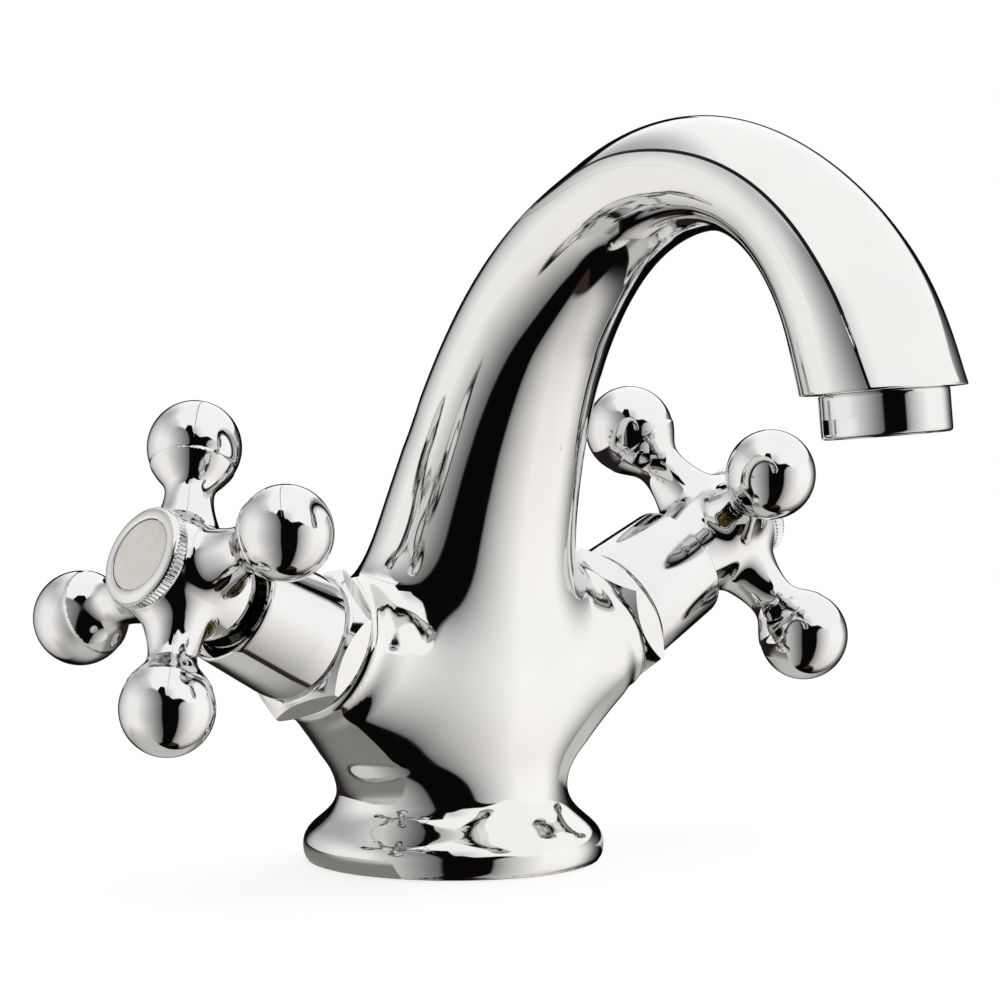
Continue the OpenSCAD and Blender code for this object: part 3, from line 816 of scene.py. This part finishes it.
    # outlet face and the bore for the aerator
    D = SPINE(np.array([S_END]), 1)[0]
    C = SPINE(np.array([S_END]))[0]
    tl = math.radians(6.8)
    ax = np.array([0, -math.sin(tl), -math.cos(tl)])           # the way the water leaves
    cent = np.array([0, -121.3, 100.2])
    e1 = np.array([1.0, 0, 0]); e2 = np.cross(ax, e1)
    last = ids[-1]
    lp = np.array([verts[i] for i in last]) - cent
    ang_l = np.arctan2(lp @ e2, lp @ e1)
    bore = lambda r, depth: cent + r * (np.cos(ang_l)[:, None] * e1 + np.sin(ang_l)[:, None] * e2) - ax * depth
    rad = -(np.cos(ang_l)[:, None] * e1 + np.sin(ang_l)[:, None] * e2)
    axn = np.tile(ax, (m, 1))
    lastn = append(np.array([verts[i] for i in last]), axn)
    b0 = append(bore(11.55, 0.0), axn); b1 = append(bore(11.55, 0.0), rad); b2 = append(bore(11.55, 3.0), rad)
    b3 = append(bore(11.55, 3.0), axn); b4 = append([cent - ax * 3.0], [ax])[0]
    for u, v in ((lastn, b0), (b1, b2)):
        for k in range(m):
            k2 = (k + 1) % m
            f = [u[k2], u[k], v[k], v[k2]]
            faces.append(tuple(f))
    for k in range(m):
        faces.append((b3[(k + 1) % m], b3[k], b4))
    return np.array(verts), faces, np.array(norms), set(painted_shade_faces)


def weld_corner_normals(verts, faces, norms, shade_faces):
    """Joins points that lie at one place, keeping each corner's own normal, so that the skin is closed."""
    key = {}
    new = np.zeros(len(verts), int)
    order = []
    used = set(i for f in faces for i in f)
    for i, p in enumerate(np.round(verts, 4)):
        if i not in used:
            continue
        k = tuple(p)
        if k not in key:
            key[k] = len(order); order.append(i)
        new[i] = key[k]
    out_f, corner, shade_flags = [], [], []
    for n_f, f in enumerate(faces):
        g = [new[i] for i in f]
        keep = [n for n, v in enumerate(g) if v != g[n - 1]]
        if len(set(g)) < 3:
            continue
        out_f.append([g[n] for n in keep])
        corner += [norms[f[n]] for n in keep]
        shade_flags.append(1 if n_f in shade_faces else 0)
    return verts[order], out_f, np.array(corner), shade_flags


V, F, N, PAINTED_SHADE_SET = build_spout_lower()
V, F, N, SHADE_FLAGS = weld_corner_normals(V, F, N, PAINTED_SHADE_SET)
body = mesh_object("body_casting", V, F, M_BODY, normals=N, extra=(M_PAINTED_GROOVE_SHADE,))
# the groove faces get the painted shade material
body.data.polygons.foreach_set("material_index", SHADE_FLAGS)


# ------------------------------------------------------------------ valves
def valve_matrix(side):
    """Frame of one valve: Z runs out along its axis, the origin is in the plane of the balls."""
    z = Vector((side * AXIS[0], 0, AXIS[2])); x = Vector((AXIS[2], 0, -side * AXIS[0])); y = z.cross(x)
    return Matrix(((x.x, y.x, z.x, side * HUB[0]), (x.y, y.y, z.y, HUB[1]), (x.z, y.z, z.z, HUB[2]), (0, 0, 0, 1)))


HUB_R = Spline([-17, -15.1, -13.3, -11.5, -8, -4.5, -1, 1.5, 4.0, 6.0, 7.4, 9.0],
               np.array([[9.35], [9.4], [9.4], [9.45], [9.95], [10.7], [11.15], [11.2], [10.95], [10.45], [9.95], [9.3]]))
ARM_R = Spline([0, 4, 7, 9.6, 11.6, 13.6, 15.6, 17.4, 19, 20.5, 21.8, 24],
               np.array([[7.9], [7.6], [7.25], [6.7], [6.1], [5.45], [4.98], [4.8], [5.02], [5.72], [6.6], [8.0]]))
REACH, BALL = 28.4, 9.25


def f_handle(P):
    t = P[:, 2]
    rho = np.hypot(P[:, 0], P[:, 1])
    tc = np.clip(t, -17, 9)
    hub = (rho - HUB_R(tc)[:, 0]) / np.sqrt(1 + HUB_R(tc, 1)[:, 0] ** 2)
    hub = round_max(hub, t - 7.9, 0.4)
    hub = round_max(hub, -(t + 15.5), 0.4)
    x, y = np.abs(P[:, 0]), np.abs(P[:, 1])
    a, b = np.maximum(x, y), np.minimum(x, y)
    w = np.hypot(b, t)
    ac = np.clip(a, 0, 24)
    arm = (w - ARM_R(ac)[:, 0]) / np.sqrt(1 + ARM_R(ac, 1)[:, 0] ** 2)
    arm = np.maximum(arm, a - 23.5)
    arm = np.maximum(arm, 3.0 - a)
    ball = np.sqrt((a - REACH) ** 2 + w * w) - BALL
    arm = smin(arm, ball, 1.6)
    return smin(hub, arm, 2.4)


HV, HF, HN = surface_nets(f_handle, (-39.3, -39.3, -17), (39.3, 39.3, 10.5), 0.5)


def quarter(profile_r, profile_t, n):
    return [(profile_r(t), t) for t in np.linspace(*profile_t, n)]


def make_collar(name, place, turn):
    """Hexagonal collar with chamfered corners and a smooth sleeve with an open mouth."""
    af, R = 14.0, 14.0 / math.cos(math.radians(30))
    t0, t1 = -37.93, -32.3
    ncol = 6 * 24
    ang = [math.radians(turn) + 2 * math.pi * k / ncol for k in range(ncol)]
    hexr = [af / math.cos((k % 24 - 12) * 2 * math.pi / ncol) for k in range(ncol)]

    def low_cut(r):      # height of the lower chamfer at this radius: a round-shouldered turn
        return t0 + max(0.0, (r - 13.75)) * 0.90 + 0.02

    def high_cut(r):
        return t1 - max(0.0, (r - 13.35)) * 0.86 - 0.02

    rows = []
    n_ch, n_fl = 5, 4
    cols = []
    for k in range(ncol):
        r = hexr[k]
        col = []
        for j in range(n_ch + 1):
            rr = 13.3 + (r - 13.3) * j / n_ch
            col.append((rr, low_cut(rr)))
        za, zb = low_cut(r), high_cut(r)
        for j in range(1, n_fl):
            col.append((r, za + (zb - za) * j / n_fl))
        for j in range(n_ch + 1):
            rr = r + (13.1 - r) * j / n_ch
            col.append((rr, high_cut(rr)))
        cols.append(col)
    m = len(cols[0])
    verts, faces = [], []
    for k in range(ncol):
        for r, z in cols[k]:
            verts.append((r * math.cos(ang[k]), r * math.sin(ang[k]), z))
    for k in range(ncol):
        k2 = (k + 1) % ncol
        for j in range(m - 1):
            faces.append((k * m + j, k2 * m + j, k2 * m + j + 1, k * m + j + 1))

    def ring(r, z):
        i0 = len(verts)
        verts.extend([(r * math.cos(a), r * math.sin(a), z) for a in ang])
        return [i0 + k for k in range(ncol)]

    # sleeve, its lip, the dark recess and the bore
    top = [k * m + m - 1 for k in range(ncol)]
    prev = top
    prof = [(12.75, t1), (12.55, t1 + 0.05), (12.5, t1 + 0.35), (12.6, t1 + 0.62), (12.98, t1 + 0.75), (12.99, -28.3), (12.92, -27.0), (12.78, -24.0), (12.6, -20.5), (12.42, -17.0), (12.26, -14.2), (12.22, -13.5),
            (12.14, -13.15), (11.98, -12.92), (11.76, -12.82), (11.55, -12.87), (11.4, -13.05), (11.34, -13.4), (11.3, -15.5), (10.9, -15.6), (10.9, -31.0),
            (12.05, -31.05), (12.05, -37.9), (12.1, -37.93)]
    for r, z in prof:
        cur = ring(r, z)
        for k in range(ncol):
            k2 = (k + 1) % ncol
            faces.append((prev[k], prev[k2], cur[k2], cur[k]))
        prev = cur
    bottom = [k * m for k in range(ncol)]
    for k in range(ncol):
        k2 = (k + 1) % ncol
        faces.append((prev[k], prev[k2], bottom[k2], bottom[k]))
    return mesh_object(name, verts, faces, M_TRIM, place=place, sharp=24)


def make_index_ring(name, place):
    """Screw-in cap: reeded rim, rounded bevel, flat land and a shallow seat for the enamel."""
    reeds, per = 72, 8
    n = reeds * per
    ang = [2 * math.pi * k / n for k in range(n)]
    wave = [0.5 - 0.5 * math.cos(2 * math.pi * (k % per) / per) for k in range(n)]
    rows = [(7.0, 3.6, 0), (7.0, 7.4, 0), (9.75, 7.45, 0), (9.85, 7.6, 0), (9.92, 7.95, 0), (9.95, 8.1, 0.24), (9.95, 8.3, 0.27), (9.95, 9.0, 0.27), (9.95, 9.7, 0.27),
            (9.95, 9.95, 0.24), (9.97, 10.12, 0), (9.93, 10.3, 0), (9.8, 10.5, 0), (9.58, 10.7, 0), (9.3, 10.87, 0), (9.0, 10.98, 0), (8.7, 11.04, 0), (8.3, 11.07, 0), (7.9, 11.07, 0),
            (7.6, 11.03, 0), (7.44, 10.93, 0), (7.4, 10.75, 0), (7.4, 9.7, 0)]
    verts, faces = [], []
    for r, z, d in rows:
        verts += [((r + d * wave[k]) * math.cos(ang[k]), (r + d * wave[k]) * math.sin(ang[k]), z) for k in range(n)]
    for j in range(len(rows) - 1):
        for k in range(n):
            k2 = (k + 1) % n
            faces.append((j * n + k, j * n + k2, (j + 1) * n + k2, (j + 1) * n + k))
    c0 = len(verts); verts.append((0, 0, 3.6)); c1 = len(verts); verts.append((0, 0, 9.7))
    last = (len(rows) - 1) * n
    for k in range(n):
        k2 = (k + 1) % n
        faces.append((c0, k2, k)); faces.append((c1, last + k, last + k2))
    return mesh_object(name, verts, faces, M_TRIM, place=place, sharp=32)


def make_disc(name, place):
    prof = [(0, 9.75), (7.28, 9.75), (7.28, 10.62), (7.24, 10.75), (7.12, 10.84), (6.9, 10.89), (6.4, 10.93), (5.0, 10.98), (3.0, 11.02), (1.2, 11.04), (0, 11.045)]
    v, f = revolve(prof, 128)
    return mesh_object(name, v, f, M_ENAMEL, place=place, sharp=40)


made = {}
for side, word, cross, collar in ((-1, "hot", 22.8, -5.5), (1, "cold", 56.56, 1.0)):
    M = valve_matrix(side)
    spin = M @ Matrix.Rotation(math.radians(cross), 4, "Z")
    h = mesh_object(word + "_cross_handle", HV, HF, M_HANDLE, normals=HN, place=spin)
    b = make_collar(word + "_collar_sleeve", M, collar)
    r = make_index_ring(word + "_cap", M)
    d = make_disc(word + "_enamel", M)
    made[word] = (h, b, r, d)


# ------------------------------------------------------------------ aerator
def outlet_matrix():
    t = math.radians(-6.8)
    return Matrix.Translation((0, -121.3, 100.2)) @ Matrix.Rotation(t, 4, "X")


def make_aerator(name):
    """Housing with a neck, a rounded skirt and two flats for the wrench."""
    n = 240
    ang = [2 * math.pi * k / n for k in range(n)]
    slot = []
    for a in ang:
        d = (math.degrees(a) + 3.0 + 90.0) % 180.0 - 90.0
        slot.append(abs(d) < 23.0)
    drop = 8.2
    rows = [(9.6, -7.9, 0), (9.62, -8.08, 0), (9.75, -8.19, 0), (10.6, -8.2, 0), (11.2, -8.19, 0), (11.5, -8.14, 0), (11.75, -8.02, 0), (11.92, -7.82, 0), (12.0, -7.55, 0),
            (12.0, -7.3, 0), (12.0, -7.29, 1), (12.0, -4.61, 1), (12.0, -4.6, 0), (12.0, -3.0, 0), (12.0, -1.2, 0), (12.0, -0.45, 0), (11.93, -0.25, 0), (11.8, -0.12, 0), (11.6, -0.06, 0),
            (11.45, -0.05, 0), (11.45, 5.5, 0), (10.4, 5.6, 0), (10.4, -6.3, 0), (9.6, -6.4, 0), (9.6, -7.9, 0)]
    verts, faces = [], []
    for r, z, s in rows[:-1]:
        verts += [((r - (1.0 if s and slot[k] else 0)) * math.cos(ang[k]), (r - (1.0 if s and slot[k] else 0)) * math.sin(ang[k]), z) for k in range(n)]
    R = len(rows) - 1
    for j in range(R):
        j2 = (j + 1) % R
        for k in range(n):
            k2 = (k + 1) % n
            faces.append((j * n + k, j * n + k2, j2 * n + k2, j2 * n + k))
    return mesh_object(name, verts, faces, M_TRIM, place=outlet_matrix(), sharp=30)


aerator = make_aerator("aerator_ring")

# ------------------------------------------------------------------ riding, hiding and finishes
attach(body, "root"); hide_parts("body")
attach(aerator, "root"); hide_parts("aerator_housing")
for word in ("hot", "cold"):
    h, b, r, d = made[word]
    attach(h, word + "_turn"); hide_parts(word + "_handle")
    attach(b, "root"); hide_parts(word + "_bonnet")
    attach(r, word + "_turn"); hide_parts(word + "_index_ring")
    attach(d, word + "_turn"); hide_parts(word + "_index_disc")

KEPT = {"base_seal": M_RUBBER, "aerator_insert": M_PLASTIC, "aerator_screen": M_STEEL, "aerator_seal": M_RUBBER, "bonnet_ring": M_PLASTIC, "valve_body": M_BRASS,
        "body_oring": M_RUBBER, "spindle": M_BRASS, "spindle_orings": M_RUBBER, "circlip": M_STEEL, "moving_disc": M_CERAMIC, "fixed_disc": M_CERAMIC,
        "seat_seal": M_RUBBER, "handle_screw": M_STEEL}
for name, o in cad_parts.items():
    key = name.split("_", 1)[1] if name.split("_", 1)[0] in ("hot", "cold") else name
    if key in KEPT:
        for slot in o.material_slots:
            slot.material = KEPT[key]

# ------------------------------------------------------------------ floor
m = bpy.data.materials.new("floor")
m.use_nodes = True
t = Tree(m.node_tree)
t.t.nodes.clear()
co = t.node("ShaderNodeTexCoord").outputs["Object"]
dist = t.node("ShaderNodeVectorMath", operation="LENGTH")
t.put(dist.inputs[0], co)
far = t.smooth(dist.outputs["Value"], 0.10, 0.42)
diff = t.node("ShaderNodeBsdfDiffuse"); diff.inputs["Color"].default_value = (0.55, 0.55, 0.548, 1)
emit = t.node("ShaderNodeEmission"); emit.inputs["Color"].default_value = (1, 1, 1, 1); emit.inputs["Strength"].default_value = 1.0
soft = t.node("ShaderNodeEmission"); soft.inputs["Color"].default_value = (1, 1, 1, 1); soft.inputs["Strength"].default_value = 0.66
both = t.node("ShaderNodeAddShader")
t.t.links.new(diff.outputs[0], both.inputs[0]); t.t.links.new(soft.outputs[0], both.inputs[1])
mixs = t.node("ShaderNodeMixShader")
t.put(mixs.inputs[0], far)
t.t.links.new(both.outputs[0], mixs.inputs[1]); t.t.links.new(emit.outputs[0], mixs.inputs[2])
t.t.links.new(mixs.outputs[0], t.node("ShaderNodeOutputMaterial").inputs["Surface"])
floor_me = bpy.data.meshes.new("floor")
floor_me.from_pydata([(-6, -6, 0), (6, -6, 0), (6, 6, 0), (-6, 6, 0)], [], [(0, 1, 2, 3)])
floor_me.materials.append(m)
floor = bpy.data.objects.new("floor", floor_me)
scene.collection.objects.link(floor)
floor.location.z = -0.00005
floor.visible_glossy = False

# the stand under the mixer as its plating mirrors it: a grey-green board whose front edge runs below the arms; it glows
# with painted light, with a painted shadow under the body and arms, and it is dimmer towards its back edge
m = bpy.data.materials.new("stand_painted_light")
m.use_nodes = True
t = Tree(m.node_tree)
t.t.nodes.clear()
co = t.node("ShaderNodeTexCoord").outputs["Object"]
x = t.math("ABSOLUTE", t.dot(co, (1.0, 0.0, 0.0)))
y = t.dot(co, (0.0, 1.0, 0.0))
# painted shadow: the board is dimmer where |x| is under 36 mm, below the body and arms, and dimmer towards its back
# edge
value = t.add(0.21, t.mul(t.smooth(x, 0.036, 0.054), 0.30))
value = t.mul(value, t.sub(1.0, t.mul(t.smooth(y, 0.005, 0.060), 0.5)))
value = t.mul(value, t.add(0.92, t.mul(t.noise(co, 40.0), 0.16)))
# painted light: the board glows instead of being lit by the tent, and is seen only in reflections
emit = t.node("ShaderNodeEmission"); emit.inputs["Color"].default_value = (1.0, 1.0, 0.955, 1)
t.put(emit.inputs["Strength"], t.mul(value, 1.324))
clear = t.node("ShaderNodeBsdfTransparent")
mixs = t.node("ShaderNodeMixShader")
t.put(mixs.inputs[0], t.maxi(t.smooth(y, 0.022, 0.060), t.smooth(x, 0.085, 0.155)))
t.t.links.new(emit.outputs[0], mixs.inputs[1]); t.t.links.new(clear.outputs[0], mixs.inputs[2])
t.t.links.new(mixs.outputs[0], t.node("ShaderNodeOutputMaterial").inputs["Surface"])
stand_painted_light_me = bpy.data.meshes.new("stand_painted_light")
stand_painted_light_me.from_pydata([(-0.16, -0.0145, 0), (0.16, -0.0145, 0), (0.16, 0.062, 0), (-0.16, 0.062, 0)], [], [(0, 1, 2, 3)])
stand_painted_light_me.materials.append(m)
stand_painted_light = bpy.data.objects.new("stand_painted_light", stand_painted_light_me)
scene.collection.objects.link(stand_painted_light)
stand_painted_light.location.z = -0.0004
stand_painted_light.visible_camera = False
stand_painted_light.visible_diffuse = False
stand_painted_light.visible_shadow = False


def card(name, corners, z, colour):
    """A flat card that only the plating mirrors: corners as (side, ahead) places in metres."""
    m = bpy.data.materials.new(name)
    m.use_nodes = True
    t = Tree(m.node_tree)
    t.t.nodes.clear()
    co = t.node("ShaderNodeTexCoord").outputs["Object"]
    emit = t.node("ShaderNodeEmission")
    t.put(emit.inputs["Color"], t.mix(t.noise(co, 30.0), tuple(0.85 * v for v in colour), tuple(1.15 * v for v in colour)))
    t.t.links.new(emit.outputs[0], t.node("ShaderNodeOutputMaterial").inputs["Surface"])
    me = bpy.data.meshes.new(name)
    me.from_pydata([(0.7592 * a + 0.6509 * b, -0.6509 * a + 0.7592 * b, 0.0) for a, b in corners], [], [(0, 1, 2, 3)])
    me.materials.append(m)
    o = bpy.data.objects.new(name, me)
    scene.collection.objects.link(o)
    o.location.z = z
    o.visible_camera = False
    o.visible_diffuse = False
    o.visible_shadow = False


# the dark table behind the stand, and the seam in the sheet overhead
card("dark_table", [(-0.075, -0.010), (0.020, -0.010), (0.020, 0.260), (-0.075, 0.260)], -0.0009, (0.021, 0.016, 0.015))
card("sheet_seam", [(-0.0448, -0.16), (-0.0432, -0.16), (-0.0432, 0.16), (-0.0448, 0.16)], 0.160, (0.30, 0.30, 0.30))
